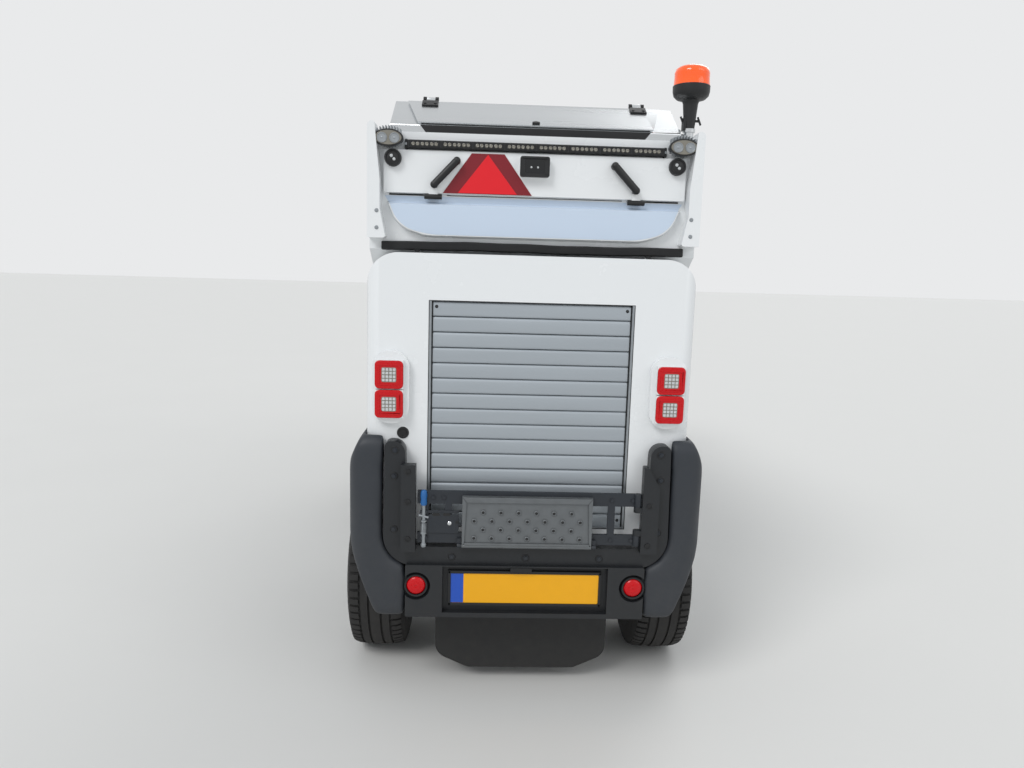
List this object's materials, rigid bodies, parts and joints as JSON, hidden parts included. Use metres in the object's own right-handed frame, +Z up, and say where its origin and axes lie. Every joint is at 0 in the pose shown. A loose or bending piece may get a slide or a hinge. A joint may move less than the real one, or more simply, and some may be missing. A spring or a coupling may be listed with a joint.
{
  "type": "street sweeper truck",
  "caption": "Compact suction street sweeper with a two-seat cab, front disc brushes, a rear-tipping hopper with a drop-down door and a fold-down step on a swinging rear gate.",
  "frame": {"origin": "on the ground under the middle of the overall width and length", "axes": "+Y to the rear, +X to the vehicle's left, +Z up; the machine drives toward -Y"},
  "size_m": [1.55, 4.13, 2.2499],
  "materials": {
    "white_paint": "satin",
    "dark_paint": "satin",
    "stainless": "brushed",
    "zinc_steel": "satin",
    "aluminium": "satin",
    "dark_plastic": "matte",
    "grey_plastic": "matte",
    "black_plastic": "matte",
    "rubber": "matte",
    "tyre": "matte",
    "wheel_paint": "satin",
    "glass": "clear",
    "lamp_clear": "glossy",
    "lamp_red": "glossy",
    "lamp_amber": "glossy",
    "seat_fabric": "woven",
    "cast_iron": "rough",
    "chrome": "polished",
    "bristle": "matte"
  },
  "bodies": {
    "chassis": {"chassis_frame": "dark_paint", "rear_axle": "dark_paint", "front_axle": "dark_paint", "suction_duct": "grey_plastic", "intake_section": "grey_plastic", "side_tanks": "white_paint", "engine_block": "cast_iron", "rear_hood": "white_paint", "rear_shutter": "aluminium", "rear_fenders": "dark_plastic", "rear_bumper": "dark_plastic", "rear_lamps": "lamp_red", "mudflap": "rubber", "cab_shell": "white_paint", "cab_glass": "glass", "headlamps": "lamp_clear", "mirrors": "black_plastic", "seats": "seat_fabric", "dashboard": "grey_plastic", "steering_wheel": "black_plastic"},
    "hopper": {"hopper": "white_paint", "air_cowl": "stainless", "hopper_lamps": "lamp_clear"},
    "rear_door": {"rear_door": "white_paint"},
    "cowl_flap": {"cowl_flap": "stainless"},
    "tip_barrels": {"tip_barrels": "dark_paint"},
    "tip_rods": {"tip_rods": "chrome"},
    "gate": {"gate": "zinc_steel"},
    "step_plate": {"step_plate": "zinc_steel"},
    "knuckle_left": {"knuckle_left": "dark_paint"},
    "knuckle_right": {"knuckle_right": "dark_paint"},
    "cab_door_left": {"cab_door_left": "white_paint", "door_glass_left": "glass"},
    "cab_door_right": {"cab_door_right": "white_paint", "door_glass_right": "glass"},
    "wheel_front_left": {"rim_front_left": "wheel_paint", "tyre_front_left": "tyre"},
    "wheel_front_right": {"rim_front_right": "wheel_paint", "tyre_front_right": "tyre"},
    "wheel_rear_left": {"rim_rear_left": "wheel_paint", "tyre_rear_left": "tyre"},
    "wheel_rear_right": {"rim_rear_right": "wheel_paint", "tyre_rear_right": "tyre"},
    "swing_arm_left": {"swing_arm_left": "dark_paint"},
    "lift_arm_left": {"lift_arm_left": "dark_paint"},
    "brush_left": {"brush_left": "bristle"},
    "swing_arm_right": {"swing_arm_right": "dark_paint"},
    "lift_arm_right": {"lift_arm_right": "dark_paint"},
    "brush_right": {"brush_right": "bristle"}
  },
  "joints": [
    {"name": "steer_left", "type": "hinge", "parent": "chassis", "child": "knuckle_left", "pos_m": [0.47, -0.48, 0.335], "axis": [0, 0, 1], "range_deg": [-28, 28]},
    {"name": "steer_right", "type": "hinge", "parent": "chassis", "child": "knuckle_right", "pos_m": [-0.47, -0.48, 0.335], "axis": [0, 0, 1], "range_deg": [-28, 28]},
    {"name": "spin_front_left", "type": "hinge", "parent": "knuckle_left", "child": "wheel_front_left", "pos_m": [0.551, -0.48, 0.335], "axis": [1, 0, 0], "continuous": true},
    {"name": "spin_front_right", "type": "hinge", "parent": "knuckle_right", "child": "wheel_front_right", "pos_m": [-0.551, -0.48, 0.335], "axis": [1, 0, 0], "continuous": true},
    {"name": "spin_rear_left", "type": "hinge", "parent": "chassis", "child": "wheel_rear_left", "pos_m": [0.551, 1.52, 0.335], "axis": [1, 0, 0], "continuous": true},
    {"name": "spin_rear_right", "type": "hinge", "parent": "chassis", "child": "wheel_rear_right", "pos_m": [-0.551, 1.52, 0.335], "axis": [1, 0, 0], "continuous": true},
    {"name": "hopper_tip", "type": "hinge", "parent": "chassis", "child": "hopper", "pos_m": [0, 1.944, 1.572], "axis": [-1, 0, 0], "range_deg": [0, 48]},
    {"name": "barrel_swing", "type": "hinge", "parent": "chassis", "child": "tip_barrels", "pos_m": [0, 1.265, 0.5], "axis": [1, 0, 0], "range_deg": [-1, 12.23]},
    {"name": "rod_slide", "type": "slide", "parent": "tip_barrels", "child": "tip_rods", "axis": [0, 0.1823, 0.9833], "range_m": [-0.005, 0.5526]},
    {"name": "rear_door_drop", "type": "hinge", "parent": "hopper", "child": "rear_door", "pos_m": [0, 1.913, 1.777], "axis": [-1, 0, 0], "range_deg": [0, 100]},
    {"name": "cowl_flap_lift", "type": "hinge", "parent": "hopper", "child": "cowl_flap", "pos_m": [0, 1.678, 2.139], "axis": [1, 0, 0], "range_deg": [0, 95]},
    {"name": "gate_swing", "type": "hinge", "parent": "chassis", "child": "gate", "pos_m": [-0.38, 2.047, 0.7], "axis": [0, 0, 1], "range_deg": [0, 100]},
    {"name": "step_fold", "type": "hinge", "parent": "gate", "child": "step_plate", "pos_m": [0, 2.057, 0.6], "axis": [-1, 0, 0], "range_deg": [0, 90]},
    {"name": "cab_door_left_open", "type": "hinge", "parent": "chassis", "child": "cab_door_left", "pos_m": [0.604, -1.372, 0.8], "axis": [0, 0, -1], "range_deg": [0, 70]},
    {"name": "cab_door_right_open", "type": "hinge", "parent": "chassis", "child": "cab_door_right", "pos_m": [-0.604, -1.372, 0.8], "axis": [0, 0, 1], "range_deg": [0, 70]},
    {"name": "arm_swing_left", "type": "hinge", "parent": "chassis", "child": "swing_arm_left", "pos_m": [0.3, -1.21, 0.49], "axis": [0, 0, 1], "range_deg": [0, 30]},
    {"name": "arm_lift_left", "type": "hinge", "parent": "swing_arm_left", "child": "lift_arm_left", "pos_m": [0.3, -1.28, 0.34], "axis": [-1, 0, 0], "range_deg": [-2, 12]},
    {"name": "brush_spin_left", "type": "hinge", "parent": "lift_arm_left", "child": "brush_left", "pos_m": [0.355, -1.725, 0.215], "axis": [0, 0, 1], "continuous": true},
    {"name": "arm_swing_right", "type": "hinge", "parent": "chassis", "child": "swing_arm_right", "pos_m": [-0.3, -1.21, 0.49], "axis": [0, 0, -1], "range_deg": [0, 30]},
    {"name": "arm_lift_right", "type": "hinge", "parent": "swing_arm_right", "child": "lift_arm_right", "pos_m": [-0.3, -1.28, 0.34], "axis": [-1, 0, 0], "range_deg": [-2, 12]},
    {"name": "brush_spin_right", "type": "hinge", "parent": "lift_arm_right", "child": "brush_right", "pos_m": [-0.355, -1.725, 0.215], "axis": [0, 0, 1], "continuous": true}
  ],
  "couplings": [
    {"joint": "steer_right", "follows": "steer_left", "ratio": 1},
    {"joint": "barrel_swing", "follows": "hopper_tip", "ratio": 0.23395},
    {"joint": "rod_slide", "follows": "hopper_tip", "m_per_rad": 0.65365}
  ]
}
